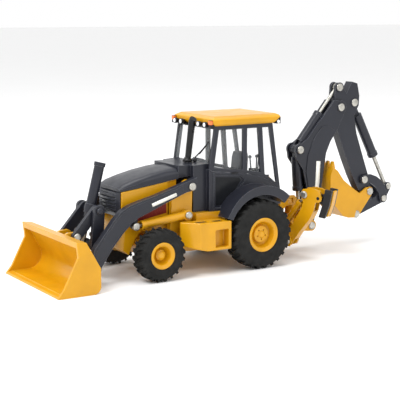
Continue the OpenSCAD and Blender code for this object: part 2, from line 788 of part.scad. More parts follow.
module boom_rod() {
    color("silver") place() difference() {
        union() {
            along(boom_rod_pin, heading(boom_rod_pin, boom_mid)) cylinder(r = 0.9, h = 20.5);
            bar_y(boom_rod_pin, 1.3, -1.2, 1.2);
        }
        bar_y(boom_rod_pin, thin_pin_r + fit, -far, far);
    }
}

module dipper() {
    outline = [[-61.9, 22.4], [-58.6, 28.5], [-55.3, 35.6], [-50.3, 47.4], [-49.4, 52],
        [-48.6, 57], [-48.6, 62.6], [-48.9, 66], [-50.2, 67.2], [-52, 67], [-54.6, 62.6],
        [-57.4, 67.4], [-60.2, 66.6], [-61.4, 61.6], [-61.2, 57.6], [-58.9, 53.4],
        [-60.4, 45.9], [-64.5, 35], [-67, 28.6], [-69, 21.6], [-67.6, 19.6]];
    color("darkslategray") place() difference() {
        union() {
            slab(outline, -dipper_half, dipper_half);
            bar_y(bucket_pin, 1.9, -dipper_half, dipper_half);
            bar_y(curl_base, 1.9, -dipper_half, dipper_half);
        }
        // Slots for the crowd rod eye and the curl barrel eye
        slab([[-46, 57.6], [-50.4, 62.8], [-54.4, 62.8], [-54.4, 69], [-46, 69]], -slot_half,
            slot_half);
        slab([[-57, 55.8], [-63, 51.4], [-63, 61.4], [-57, 61.4]], -slot_half, slot_half);
        bar_y(dipper_pin, pin_r + fit, -far, far);
        for (p = [crowd_ear, curl_base, guide_pin, bucket_pin]) bar_y(p, pin_r, -far, far);
    }
}

module dipper_rivets() {
    color("silver") place() {
        through_rivet(crowd_ear, dipper_half);
        through_rivet(curl_base, dipper_half);
        through_rivet(guide_pin, boom_half);
        through_rivet(bucket_pin, boom_half);
    }
}

module crowd_barrel() {
    angle = heading(boom_mid, crowd_ear);
    color("darkslategray") place() difference() {
        union() {
            barrel(boom_mid, angle, hoe_barrel_r, 1.55, 3.4, 18, 5);
            both_sides() {
                bar_y(boom_mid, 1.8, 1.1, 1.9);
                along(boom_mid, angle) translate([-1.2, 1.1, 0]) cube([2.4, 0.8, 4]);
            }
        }
        bar_y(boom_mid, pin_r + fit, -far, far);
    }
}

module crowd_rod() {
    color("silver") place() difference() {
        union() {
            along(crowd_ear, heading(crowd_ear, boom_mid)) cylinder(r = 0.7, h = 17);
            bar_y(crowd_ear, 1.5, -eye_half, eye_half);
        }
        bar_y(crowd_ear, pin_r + fit, -far, far);
    }
}

module curl_barrel() {
    angle = heading(curl_base, curl_pin);
    color("darkslategray") place() difference() {
        union() {
            barrel(curl_base, angle, hoe_barrel_r, 1.5, 6, 26, 7.4);
            along(curl_base, angle) translate([-1, -eye_half, 0]) cube([2, 2 * eye_half, 6.4]);
            bar_y(curl_base, 1.5, -eye_half, eye_half);
        }
        bar_y(curl_base, pin_r + fit, -far, far);
    }
}

module curl_rod() {
    color("silver") place() difference() {
        union() {
            along(curl_pin, heading(curl_pin, curl_base)) cylinder(r = 0.85, h = 20);
            bar_y(curl_pin, 1.5, -eye_half, eye_half);
        }
        bar_y(curl_pin, pin_r + fit, -far, far);
    }
}

module guide_links() {
    outline = [[-62.7, 27.6], [-64.4, 28.5], [-67.6, 28.6], [-70.7, 27.5], [-73.4, 25.6],
        [-75.4, 22.9], [-76.7, 19.6], [-76.8, 17.4], [-73.4, 16.6], [-72.4, 20], [-70.6, 22.9],
        [-67.6, 24.9], [-65, 24.8]];
    color("darkslategray") place() both_sides() difference() {
        union() {
            slab(outline, dipper_half + side_gap, boom_half - 0.05);
            bar_y(guide_pin, 1.9, dipper_half + side_gap, boom_half - 0.05);
            bar_y(tip_pin, 1.9, dipper_half + side_gap, boom_half - 0.05);
        }
        bar_y(guide_pin, pin_r + fit, 0, far);
        bar_y(tip_pin, pin_r + fit, 0, far);
    }
}

module tip_link() {
    color("darkslategray") place() difference() {
        union() {
            strap(push_pin, 1.4, tip_pin, 2, -dipper_half, dipper_half);
            strap(tip_pin, 2, curl_pin, 1.6, -dipper_half, dipper_half);
        }
        along(tip_pin, heading(tip_pin, curl_pin)) translate([-5, -slot_half, 2.4])
            cube([10, 2 * slot_half, 20]);
        for (p = [tip_pin, curl_pin]) bar_y(p, pin_r, -far, far);
        bar_y(push_pin, thin_pin_r + 0.6, -far, far);
    }
}

module link_rivets() {
    color("silver") place() {
        through_rivet(tip_pin, boom_half, pin_r, 1.35);
        through_rivet(curl_pin, dipper_half, pin_r, 1.35);
    }
}

module hoe_bucket() {
    half = hoe_bucket_w / 2;
    t = 0.8;
    outline = concat([[-61.5, 20.3], [-58.4, 15.6], [-57.2, 11.6]],
        [[-54, 11.8], [-51, 12.9]], arc([-53.6, 24], 9.4, -48, 10, 8),
        [[-44.2, 30], [-45.6, 33.4], [-48, 31.7], [-51, 27.8], [-56.5, 23.6]]);
    hollow = concat([[-60.6, 20.4], [-57.6, 16], [-56.4, 12.7]],
        [[-53.9, 12.7], [-51.4, 13.7]], arc([-53.6, 24], 8.5, -48, 10, 8),
        [[-45.1, 30], [-46.2, 32.6], [-48, 40], [-60, 30]]);
    color("gold") place() difference() {
        union() {
            difference() {
                slab(outline, -half, half);
                slab(hollow, -half + t, half - t);
            }
            for (i = [0:3]) translate([0, -half + 0.55 + i * (hoe_bucket_w - 2.7) / 3, 0])
                slab([[-44.8, 31], [-45.7, 35.5], [-46.3, 35.7], [-46.9, 33], [-46, 31]], 0, 1.6);
            both_sides() {
                slab([[-58.2, 16.2], [-61.6, 20.6], [-65.6, 23.2], [-68.4, 22.8],
                    [-68.8, 20.4], [-61.4, 11.4], [-59.4, 10.9], [-57.1, 11.7]],
                    dipper_half + side_gap, boom_half - 0.05);
                bar_y(bucket_pin, 1.9, dipper_half + side_gap, boom_half - 0.05);
                bar_y(push_pin, 1.5, dipper_half + side_gap, boom_half - 0.05);
            }
        }
        bar_y(bucket_pin, pin_r + fit, -far, far);
        bar_y(push_pin, thin_pin_r, -far, far);
    }
}

module hoe_bucket_rivets() {
    color("silver") place() through_rivet(push_pin, boom_half - 0.05, thin_pin_r);
}

// ---- Stabilizers ----

module stabilizer_arm() {
    inner = 1.8;
    outer = 2.6;
    outline = [[-1.7, 6.8], [-1.3, 4.8], [1, 4.8], [4.7, 10.4], [9.1, 16], [10.6, 19],
        [11.4, 22.4], [13.7, 24.6], [13.4, 27.4], [9.7, 28.2], [6, 27.6], [4.8, 25.6],
        [6.2, 22.6], [5.4, 19.8], [0.4, 11.4]];
    in_stab_plane() difference() {
        union() {
            for (side = [0, 1]) mirror([0, side, 0]) {
                slab(outline, inner, outer);
                bar_y(stab_pin, 2, inner, outer);
                bar_y(pad_pin, 1.6, inner, outer);
            }
            slab([[2.6, 7.2], [4.7, 10.4], [9.1, 16], [10.6, 19], [9.7, 19.4], [8.3, 16.5],
                [3.9, 10.8], [1.9, 7.8]], -inner, inner);
        }
        bar_y(stab_pin, pin_r + fit, -far, far);
        bar_y(stab_top, thin_pin_r + fit, -far, far);
        bar_y(pad_pin, thin_pin_r + fit, -far, far);
    }
}

module stabilizer_pad() {
    face = [[14.1, 17.6], [15.3, 17.4], [16.9, 22], [18, 27.6], [16.9, 27.9], [15.9, 22.4]];
    in_stab_plane() {
        slab(face, -3.1, 3.1);
        for (y = [-3.1, 1.9]) slab([[13, 17.2], [15.6, 16.9], [17.4, 22], [18.5, 27.8],
            [15.6, 28.2], [14.6, 22.4]], y, y + 1.2);
        slab([[16.4, 26.4], [11.4, 25.4], [11.4, 23.2], [15.4, 20.6]], -1.4, 1.4);
        bar_y(pad_pin, 1.4, -1.4, 1.4);
        bar_y(pad_pin, thin_pin_r, -2.55, 2.55);
    }
}

module stabilizer_barrel() {
    in_stab_plane() difference() {
        union() {
            barrel(stab_base, heading(stab_base, stab_top), 1.3, 1.1, 0, stab_barrel_len, 2.2);
            bar_y(stab_base, 1.6, -1.4, 1.4);
        }
        bar_y(stab_base, thin_pin_r + fit, -far, far);
    }
}

// The rod's eye and the rivet through the arm's two plates
module stabilizer_rod() {
    in_stab_plane() {
        along(stab_top, heading(stab_top, stab_base)) cylinder(r = 0.5, h = stab_rod_len);
        bar_y(stab_top, 1.3, -1.4, 1.4);
        through_rivet(stab_top, 2.65, thin_pin_r, head_r);
    }
}

module stabilizer_arm_left() { color("gold") place() stabilizer_arm(); }
module stabilizer_arm_right() { color("gold") place() mirror([0, 1, 0]) stabilizer_arm(); }
module stabilizer_pad_left() { color("dimgray") place() stabilizer_pad(); }
module stabilizer_pad_right() { color("dimgray") place() mirror([0, 1, 0]) stabilizer_pad(); }
module stabilizer_barrel_left() { color("gold") place() stabilizer_barrel(); }
module stabilizer_barrel_right() { color("gold") place() mirror([0, 1, 0]) stabilizer_barrel(); }
module stabilizer_rod_left() { color("silver") place() stabilizer_rod(); }
module stabilizer_rod_right() { color("silver") place() mirror([0, 1, 0]) stabilizer_rod(); }

main_frame();
engine_hood();
hood_side_panels();
front_grille();
loader_towers();
cab_shell();
cab_posts();
cab_roof();
cab_glazing();
cab_lamps();
operator_seat();
operator_controls();
exhaust_stack();
fuel_tank_step();
toolbox_step();
rear_frame();
chassis_pins();
rear_axle_shaft();
rear_rims();
rear_tyres();
front_axle_beam();
front_axle_shaft();
front_rims();
front_tyres();
loader_arms();
loader_cross_tube();
loader_rivets();
lift_barrels();
lift_rods();
loader_rockers();
loader_links();
tilt_barrel();
tilt_rod();
loader_bucket();
bucket_rivets();
swing_frame();
swing_rivets();
boom();
boom_rivets();
boom_barrel();
boom_rod();
dipper();
dipper_rivets();
crowd_barrel();
crowd_rod();
curl_barrel();
curl_rod();
guide_links();
tip_link();
link_rivets();
hoe_bucket();
hoe_bucket_rivets();
stabilizer_arm_left();
stabilizer_arm_right();
stabilizer_pad_left();
stabilizer_pad_right();
stabilizer_barrel_left();
stabilizer_barrel_right();
stabilizer_rod_left();
stabilizer_rod_right();
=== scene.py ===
"""Looks of the toy backhoe loader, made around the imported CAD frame.

The scene is in metres. Outlines, sizes and places are written in millimetres from the rear axle, and
at() turns them into places in the frame.
"""

import json
import math

import bmesh
import bpy
from mathutils import Matrix, Vector


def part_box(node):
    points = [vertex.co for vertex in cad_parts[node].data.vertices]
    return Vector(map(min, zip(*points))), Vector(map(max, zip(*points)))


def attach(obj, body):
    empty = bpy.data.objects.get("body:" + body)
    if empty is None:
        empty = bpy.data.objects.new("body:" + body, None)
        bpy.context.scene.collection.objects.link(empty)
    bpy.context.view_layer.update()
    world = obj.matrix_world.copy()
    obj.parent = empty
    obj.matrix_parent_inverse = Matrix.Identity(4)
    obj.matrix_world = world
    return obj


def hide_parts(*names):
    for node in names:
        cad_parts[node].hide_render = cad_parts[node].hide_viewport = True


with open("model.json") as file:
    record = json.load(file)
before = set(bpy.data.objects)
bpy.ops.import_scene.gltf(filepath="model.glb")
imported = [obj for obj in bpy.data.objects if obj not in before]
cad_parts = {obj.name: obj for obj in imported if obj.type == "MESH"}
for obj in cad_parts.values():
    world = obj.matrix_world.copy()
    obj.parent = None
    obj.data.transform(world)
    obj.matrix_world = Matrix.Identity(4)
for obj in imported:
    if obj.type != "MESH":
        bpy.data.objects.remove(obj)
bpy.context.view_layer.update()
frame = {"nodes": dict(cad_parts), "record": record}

MM = 0.001
SIDES = (1, -1)


# ---- Places worked out from the frame ----

def middle(node):
    """The centre of a CAD node's box."""
    low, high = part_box(node)
    return (low + high) / 2


AXLE_X = middle("rear_tyres").x


def at(x, y, z):
    """A point in millimetres, counted forward from the rear axle, as a place in the frame."""
    return Vector((AXLE_X + x * MM, y * MM, z * MM))


# ---- Materials ----

class Finish:
    """A procedural material: a Principled shader, and short ways to add what varies over it."""

    def __init__(self, name, colour, roughness, metallic=0.0, **sockets):
        self.material = bpy.data.materials.new(name)
        self.material.use_nodes = True
        self.nodes = self.material.node_tree.nodes
        self.links = self.material.node_tree.links
        self.shader = self.nodes["Principled BSDF"]
        self.colour = colour
        self.shader.inputs["Base Color"].default_value = (*colour, 1)
        self.shader.inputs["Roughness"].default_value = roughness
        self.shader.inputs["Metallic"].default_value = metallic
        for socket, value in sockets.items():
            self.shader.inputs[socket.replace("_", " ")].default_value = value
        self.place = self.nodes.new("ShaderNodeTexCoord").outputs["Object"]

    def noise(self, size, detail=3.0, stretch=(1, 1, 1)):
        """Noise whose blotches are about size millimetres across."""
        mapping = self.nodes.new("ShaderNodeMapping")
        mapping.inputs["Scale"].default_value = stretch
        self.links.new(self.place, mapping.inputs["Vector"])
        texture = self.nodes.new("ShaderNodeTexNoise")
        texture.inputs["Scale"].default_value = 1 / (size * MM)
        texture.inputs["Detail"].default_value = detail
        self.links.new(mapping.outputs["Vector"], texture.inputs["Vector"])
        return texture.outputs["Fac"]

    def spread(self, value, low, high, start=0.3, stop=0.7):
        """A value between start and stop, spread from low to high."""
        node = self.nodes.new("ShaderNodeMapRange")
        for socket, number in zip(("From Min", "From Max", "To Min", "To Max"),
                                  (start, stop, low, high)):
            node.inputs[socket].default_value = number
        self.links.new(value, node.inputs["Value"])
        return node.outputs["Result"]

    def mixed(self, share, first, second):
        """A colour between two, each a colour or another node's output."""
        node = self.nodes.new("ShaderNodeMix")
        node.data_type = "RGBA"
        self.links.new(share, node.inputs["Factor"])
        for socket, colour in (("A", first), ("B", second)):
            target = next(s for s in node.inputs if s.name == socket and s.type == "RGBA")
            if isinstance(colour, bpy.types.NodeSocket):
                self.links.new(colour, target)
            else:
                target.default_value = (*colour, 1)
        return next(s for s in node.outputs if s.type == "RGBA")

    def edge_wear_and_highlight(self, radius, strength):
        """Strength on sharp edges, 0 on flat faces, from how far a rounded normal turns: partly
        wear, partly painted highlight.
        """
        bevel = self.nodes.new("ShaderNodeBevel")
        bevel.samples = 4
        bevel.inputs["Radius"].default_value = radius * MM
        flat = self.nodes.new("ShaderNodeNewGeometry")
        dot = self.nodes.new("ShaderNodeVectorMath")
        dot.operation = "DOT_PRODUCT"
        self.links.new(bevel.outputs["Normal"], dot.inputs[0])
        self.links.new(flat.outputs["Normal"], dot.inputs[1])
        return self.spread(dot.outputs["Value"], strength, 0.0, start=0.86, stop=0.99)

    def set_colour(self, output):
        self.links.new(output, self.shader.inputs["Base Color"])

    def vary_roughness(self, value, low, high):
        self.links.new(self.spread(value, low, high), self.shader.inputs["Roughness"])

    def bump(self, value, depth, strength=1.0):
        """Raises the surface by up to depth millimetres where value is 1."""
        node = self.nodes.new("ShaderNodeBump")
        node.inputs["Strength"].default_value = strength
        node.inputs["Distance"].default_value = depth * MM
        self.links.new(value, node.inputs["Height"])
        self.links.new(node.outputs["Normal"], self.shader.inputs["Normal"])


def scaled(colour, factor):
    """A colour made lighter or darker."""
    return tuple(min(1.0, c * factor) for c in colour)


def paint(name, colour, roughness, edge, edge_share, **sockets):
    """Sprayed enamel: faint colour drift, orange peel, and lighter edges, partly a thin coat and
    partly painted highlight.
    """
    finish = Finish(name, colour, roughness, **sockets)
    drift = finish.mixed(finish.spread(finish.noise(9), 0.0, 1.0), scaled(colour, 0.9),
                         scaled(colour, 1.07))
    # Lighter colour on sharp edges: partly worn paint, partly painted highlight.
    finish.set_colour(finish.mixed(finish.edge_wear_and_highlight(0.16, edge_share), drift, edge))
    finish.vary_roughness(finish.noise(3.5), roughness * 0.85, roughness * 1.2)
    finish.bump(finish.noise(0.9, detail=2), depth=0.012, strength=0.55)
    return finish.material


def plated_steel(name, colour, roughness):
    """Nickel-plated steel with fine turning marks and a little tarnish."""
    finish = Finish(name, colour, roughness, metallic=0.85)
    tarnish = finish.mixed(finish.spread(finish.noise(1.6), 0.0, 1.0), scaled(colour, 0.72),
                           scaled(colour, 1.1))
    finish.set_colour(tarnish)
    finish.vary_roughness(finish.noise(0.8), roughness * 0.75, roughness * 1.3)
    finish.bump(finish.noise(0.25, detail=4, stretch=(1, 6, 1)), depth=0.006, strength=0.5)
    return finish.material


def rubber(name, colour):
    """Matt tyre rubber with a dusty bloom and moulding grain."""
    finish = Finish(name, colour, 0.78, Specular_IOR_Level=0.2)
    dust = finish.mixed(finish.spread(finish.noise(3.2, detail=5), 0.0, 1.0),
                        scaled(colour, 0.8), scaled(colour, 1.45))
    # Lighter rubber on sharp edges: partly dust and wear, partly painted highlight.
    finish.set_colour(finish.mixed(finish.edge_wear_and_highlight(0.12, 0.5), dust, scaled(colour, 2.6)))
    finish.vary_roughness(finish.noise(1.4), 0.66, 0.88)
    finish.bump(finish.noise(0.22, detail=4), depth=0.02, strength=0.6)
    return finish.material


def moulded(name, colour, roughness, grain=0.35, **sockets):
    """Moulded plastic whose grain is grain millimetres across."""
    finish = Finish(name, colour, roughness, **sockets)
    drift = finish.mixed(finish.spread(finish.noise(4), 0.0, 1.0), scaled(colour, 0.85),
                         scaled(colour, 1.2))
    # Lighter plastic on sharp edges: partly wear, partly painted highlight.
    finish.set_colour(finish.mixed(finish.edge_wear_and_highlight(0.12, 0.35), drift, scaled(colour, 2.2)))
    finish.vary_roughness(finish.noise(1.2), roughness * 0.85, roughness * 1.2)
    finish.bump(finish.noise(grain, detail=3), depth=0.01, strength=0.5)
    return finish.material


def clear(name, colour, alpha):
    """Clear moulded glazing: mostly see-through, with faint haze."""
    finish = Finish(name, colour, 0.04, Alpha=alpha, IOR=1.5, Specular_IOR_Level=0.25)
    finish.set_colour(finish.mixed(finish.noise(6), scaled(colour, 0.95), colour))
    finish.vary_roughness(finish.noise(2.5), 0.02, 0.09)
    finish.bump(finish.noise(8.0, detail=1), depth=0.004, strength=0.08)
    return finish.material


YELLOW = (0.62, 0.3, 0.003)
SLATE = (0.015, 0.0165, 0.0245)
FINISHES = {
    # The pale edge colours given to paint() here and for the louvre red are partly wear and partly
    # painted highlight; the slate's is mostly painted highlight.
    "yellow_paint": paint("yellow_enamel", YELLOW, 0.33, (0.85, 0.5, 0.08), 0.45,
                          Specular_IOR_Level=0.3, Coat_Weight=0.22, Coat_Roughness=0.1),
    "slate_paint": paint("slate_enamel", SLATE, 0.38, (0.2, 0.21, 0.24), 0.75,
                         Specular_IOR_Level=0.3, Coat_Weight=0.2, Coat_Roughness=0.15),
    "silver_steel": plated_steel("plated_steel", (0.5, 0.485, 0.44), 0.32),
    "black_rubber": rubber("tyre_rubber", (0.012, 0.012, 0.0115)),
    "black_plastic": moulded("black_plastic", (0.007, 0.007, 0.008), 0.3,
                             Specular_IOR_Level=0.35),
    "interior_plastic": moulded("interior_plastic", (0.035, 0.037, 0.044), 0.5,
                                Specular_IOR_Level=0.3),
    "clear_plastic": clear("clear_glazing", (0.8, 0.84, 0.86), 0.06),
}
RED = paint("louvre_red", (0.17, 0.012, 0.006), 0.45, (0.3, 0.04, 0.02), 0.5,
            Specular_IOR_Level=0.25)
DECAL = moulded("pale_stripe", (0.8, 0.79, 0.72), 0.35, grain=1.5)
AMBER = moulded("amber_lens", (0.85, 0.16, 0.01), 0.15, grain=1.5, Coat_Weight=0.8)
LENS = moulded("lamp_lens", (0.8, 0.82, 0.84), 0.12, grain=1.5, Coat_Weight=0.8)
GLASS_BLACK = moulded("dark_glass", (0.008, 0.009, 0.011), 0.2, grain=1.5,
                      Specular_IOR_Level=0.2)


# ---- Making pieces ----

WELD_GAP = 0.002 * MM               # vertices closer than this are one
FLAT_ANGLE = math.radians(0.6)      # faces that meet at less are merged
SHARP_ANGLE = math.radians(32)      # edges that turn more are rounded


def soften(obj, width, segments=2, flatten_faces=True):
    """Rounds a piece's sharp edges by width millimetres and shades it smoothly."""
    for polygon in obj.data.polygons:
        polygon.use_smooth = True
    weld = obj.modifiers.new("weld", "WELD")
    weld.merge_threshold = WELD_GAP
    if flatten_faces:
        flatten = obj.modifiers.new("flatten", "DECIMATE")
        flatten.decimate_type = "DISSOLVE"
        flatten.angle_limit = FLAT_ANGLE
    bevel = obj.modifiers.new("bevel", "BEVEL")
    bevel.width = width * MM
    bevel.segments = segments
    bevel.limit_method = "ANGLE"
    bevel.angle_limit = SHARP_ANGLE
    bevel.use_clamp_overlap = True
    bevel.miter_outer = "MITER_ARC"
    bevel.harden_normals = False
    obj.modifiers.new("normals", "WEIGHTED_NORMAL").keep_sharp = False


def piece(name, body, material, build, bevel=0.0, replaces=()):
    """Makes one object from what build adds to an empty mesh, and lets it ride on a body."""
    shape = bmesh.new()
    build(shape)
    bmesh.ops.recalc_face_normals(shape, faces=shape.faces)
    mesh = bpy.data.meshes.new(name)
    shape.to_mesh(mesh)
    shape.free()
    mesh.materials.append(material)
    obj = bpy.data.objects.new(name, mesh)
    bpy.context.scene.collection.objects.link(obj)
    if bevel:
        soften(obj, bevel)
    else:
        for polygon in mesh.polygons:
            polygon.use_smooth = True
    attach(obj, body)
    if replaces:
        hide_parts(*replaces)
    return obj


def add_prism(shape, outline, y0, y1):
    """A side-view outline, [x, z] in millimetres from the rear axle, between two widths."""
    rings = [[shape.verts.new(at(x, y, z)) for x, z in outline] for y in (y0, y1)]
    shape.faces.new(rings[0])
    shape.faces.new(reversed(rings[1]))
    count = len(outline)
    for i in range(count):
        j = (i + 1) % count
        shape.faces.new((rings[0][i], rings[1][i], rings[1][j], rings[0][j]))


def add_twin_prisms(shape, outline, inner, outer):
    """An outline on the left and on the right, between two distances from the middle plane."""
    for side in SIDES:
        add_prism(shape, outline, side * inner, side * outer)


def add_box(shape, low, high):
    """A box between two corners, in millimetres from the rear axle."""
    add_prism(shape, [(low[0], low[2]), (high[0], low[2]), (high[0], high[2]),
                      (low[0], high[2])], low[1], high[1])


def add_loop_skin(shape, rings, close_ends=True, close_loop=False):
    """Quads between rings of vertices; the rings may close into a loop of their own."""
    pairs = list(zip(rings, rings[1:]))
    if close_loop:
        pairs.append((rings[-1], rings[0]))
    for a, b in pairs:
        for i in range(len(a)):
            j = (i + 1) % len(a)
            shape.faces.new((a[i], a[j], b[j], b[i]))
    if close_ends and not close_loop:
        shape.faces.new(rings[0])
        shape.faces.new(reversed(rings[-1]))


def add_turned(shape, centre, axis, profile, segments=48, closed=False):
    """A profile of (radius, height) in millimetres, turned about an axis through centre."""
    turn = Vector((0, 0, 1)).rotation_difference(Vector(axis)).to_matrix()
    rings = []
    for radius, height in profile:
        ring = []
        for i in range(segments):
            angle = math.tau * i / segments
            local = Vector((radius * math.cos(angle), radius * math.sin(angle), height))
            ring.append(shape.verts.new(centre + turn @ local * MM))
        rings.append(ring)
    add_loop_skin(shape, rings, not closed, closed)


def add_tube(shape, points, radius, segments=16):
    """A round bar of radius millimetres along points that are places in the frame."""
    rings = []
    side = None
    for i, point in enumerate(points):
        ahead = points[min(i + 1, len(points) - 1)]
        behind = points[max(i - 1, 0)]
        heading = (ahead - behind).normalized()
        side = heading.orthogonal() if side is None else side - heading * side.dot(heading)
        side.normalize()
        other = heading.cross(side)
        width = radius(i / (len(points) - 1)) if callable(radius) else radius
        rings.append([shape.verts.new(point + (side * math.cos(math.tau * k / segments)
                                               + other * math.sin(math.tau * k / segments))
                                      * width * MM) for k in range(segments)])
    add_loop_skin(shape, rings)


# ---- CAD nodes that keep their shape ----

BEVELS = {
    "main_frame": 0.35, "engine_hood": 0.3, "hood_side_panels": 0.18, "front_grille": 0.1,
    "loader_towers": 0.25, "cab_shell": 0.25, "cab_posts": 0.14, "cab_roof": 0.3,
    "fuel_tank_step": 0.35, "toolbox_step": 0.3, "rear_frame": 0.15, "rear_rims": 0.12,
    "front_rims": 0.12, "loader_arms": 0.3, "loader_bucket": 0.28, "hoe_bucket": 0.18,
    "loader_rockers": 0.3, "loader_links": 0.3, "dipper": 0.3, "boom": 0.18,
    "guide_links": 0.15, "tip_link": 0.2, "swing_frame": 0.12, "chassis_pins": 0.14,
    "loader_rivets": 0.14, "bucket_rivets": 0.14, "boom_rivets": 0.14, "dipper_rivets": 0.14,
    "link_rivets": 0.12, "swing_rivets": 0.14, "hoe_bucket_rivets": 0.12,
}
SMALL_BEVEL = 0.1
UNTOUCHED = ("cab_glazing",)      # thin panes keep their plain faces
OPEN_FRAMES = ("cab_posts",)      # faces with holes are not merged


def finish_cad_nodes():
    """Gives every CAD node its material and rounds its sharp edges."""
    for part in frame["record"]["subparts"]:
        node = frame["nodes"][part["node"]]
        material = FINISHES[part["material_slot"]]
        for slot in node.material_slots:
            slot.material = material
        if not node.material_slots:
            node.data.materials.append(material)
        if part["node"] not in UNTOUCHED:
            soften(node, BEVELS.get(part["node"], SMALL_BEVEL),
                   flatten_faces=part["node"] not in OPEN_FRAMES)


# ---- Wheels ----

def tyre_profile(bead, crown, width):
    """Half of a tyre's section, as (distance from its middle plane, radius)."""
    half = width / 2
    return [(half - 0.75, bead), (half - 0.3, bead + 0.15), (half - 0.12, bead + 0.6),
            (half - 0.2, bead + 0.75), (half - 0.2, bead + 0.95), (half, bead + 1.15),
            (half, (bead + crown) / 2 + 0.3), (half - 0.04, crown - 2.2),
            (half - 0.12, crown - 1.4), (half - 0.32, crown - 0.7), (half - 0.8, crown - 0.2),
            (half - 1.9, crown - 0.04), (half * 0.4, crown)]


def add_lug(shape, centre, start, skew, side, sizes):
    """One tread bar, from near the middle plane out over the shoulder."""
    crown, top, half, bar = sizes
    # Share of half the tread's width, then the bar's outer and inner radius there
    stations = [(0.03, top, crown - 0.7), (0.35, top, crown - 0.7), (0.68, top - 0.03, crown - 0.8),
                (0.84, top - 0.12, crown - 1.0), (0.91, top - 0.42, crown - 1.2),
                (0.945, crown - 0.45, crown - 1.5)]
    rings = []
    for share, outer, inner in stations:
        middle_angle = start + skew * share
        ring = []
        for radius, spread in ((inner, 0.62), (outer, 0.42), (outer, -0.42), (inner, -0.62)):
            angle = middle_angle + spread * bar / top
            ring.append(shape.verts.new(centre + Vector((radius * math.cos(angle),
                                                         side * share * half,
                                                         radius * math.sin(angle))) * MM))
        rings.append(ring)
    add_loop_skin(shape, rings)


LUG_HEIGHT = 0.6
LUG_MARGIN = 0.06       # how far the lugs stay inside the CAD tyre's radius
BEAD_OVERLAP = 0.7      # how far the tyre's bead lies inside the rim's radius


def add_tyre(shape, centre, bead, top, width, count):
    """A hollow tyre with count tread bars on each half, set in turn left and right."""
    crown = top - LUG_HEIGHT
    half = tyre_profile(bead, crown, width)
    section = half + [(-h, r) for h, r in reversed(half)]
    add_turned(shape, centre, (0, 1, 0), [(r, h) for h, r in section], 96, closed=True)
    pitch = math.tau / count
    for i in range(count):
        for row, side in enumerate(SIDES):
            add_lug(shape, centre, pitch * (i + row / 2), pitch * 0.42, side,
                    (crown, top, width / 2 - 0.05, top * 0.115))


def make_tyres(name, node, rim_node, body, width, count):
    """Both tyres of an axle, in place of the plain CAD ones."""
    low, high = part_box(node)
    rim_low, rim_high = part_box(rim_node)
    top = (high.z - low.z) / 2 / MM - LUG_MARGIN
    bead = (rim_high.z - rim_low.z) / 2 / MM - BEAD_OVERLAP

    def build(shape):
        for side in SIDES:
            centre = Vector(((low.x + high.x) / 2, side * (high.y - width * MM / 2),
                             (low.z + high.z) / 2))
            add_tyre(shape, centre, bead, top, width, count)

    piece(name, body, FINISHES["black_rubber"], build, 0.09, [node])


# ---- Cab ----

CAB_FACE = 13.2     # the outer face of the cab's walls, from the middle plane


def make_seat():
    """Pedestal, cushion, backrest and two armrests."""
    def build(shape):
        add_box(shape, (-1.6, -2.6, 24.5), (4.4, 2.6, 30.9))
        add_prism(shape, [(-2.4, 30.9), (6, 31.3), (6.3, 32.3), (5.9, 33.4), (-1.6, 33.1),
                          (-2.6, 32)], -3.9, 3.9)
        add_prism(shape, [(-4.6, 32), (-2.2, 32), (-1.8, 34.6), (-2.3, 39.8), (-3, 41.9),
                          (-4.6, 42.2), (-5, 40.4)], -3.9, 3.9)
        for y in (4.1, -4.1):
            add_box(shape, (-3.4, y - 0.35, 34.6), (1.8, y + 0.35, 35.5))

    piece("seat", "chassis", FINISHES["interior_plastic"], build, 0.7,
          ["operator_seat"])


def make_controls():
    """Dashboard and hood, steering wheel, and the hoe's levers on two consoles behind the seat."""
    hub = at(11.2, 0, 38.2)
    column = Vector((-0.64, 0, 0.77))
    wheel, grip = 2.45, 0.33
    levers = ((5.8, 5.6, -0.6), (4.9, 5.2, -0.2), (1.3, 4.6, 0.5))      # y, height, lean

    def build(shape):
        # Dashboard and its hood
        add_prism(shape, [(13.4, 24.5), (17.1, 24.5), (17.1, 37.2), (15.4, 38), (13.4, 36.6)],
                  -4.9, 4.9)
        add_prism(shape, [(13, 36.4), (17, 36.9), (16.6, 40), (15.4, 40.9), (13.6, 39.8)],
                  -3.4, 3.4)
        # Steering column, wheel, hub and spokes
        add_tube(shape, [hub - column * 5.4 * MM, hub], 0.55)
        ring = [(wheel + grip * math.cos(a), grip * math.sin(a))
                for a in (math.tau * i / 10 for i in range(10))]
        add_turned(shape, hub, column, ring, 48, closed=True)
        add_turned(shape, hub, column, [(0.75, -0.3), (0.8, 0.1), (0.5, 0.35)], 24)
        across = column.orthogonal().normalized()
        for turn in range(3):
            spoke = Matrix.Rotation(math.tau * turn / 3, 3, column) @ across
            add_tube(shape, [hub + spoke * 0.4 * MM, hub + spoke * 2.4 * MM], 0.22, 8)
        # Levers with their knobs, then the two consoles
        for y, height, lean in levers:
            foot = at(-8, y, 35)
            knob = foot + Vector((lean, 0, height)) * MM
            add_tube(shape, [foot, knob], 0.28, 12)
            add_turned(shape, knob, (0, 0, 1), [(0.2, -0.5), (0.62, -0.1), (0.66, 0.4),
                                                (0.4, 0.8), (0.05, 0.9)], 20)
        add_prism(shape, [(-9.7, 30.7), (-6.3, 30.7), (-6.5, 35.2), (-7.4, 35.9), (-9.2, 35.6)],
                  4.4, 7.3)
        add_prism(shape, [(-9.1, 30.7), (-7.1, 30.7), (-7.3, 35.4), (-8.9, 35.4)], 0.7, 2.3)

    piece("controls", "chassis", FINISHES["interior_plastic"], build, 0.12,
          ["operator_controls"])


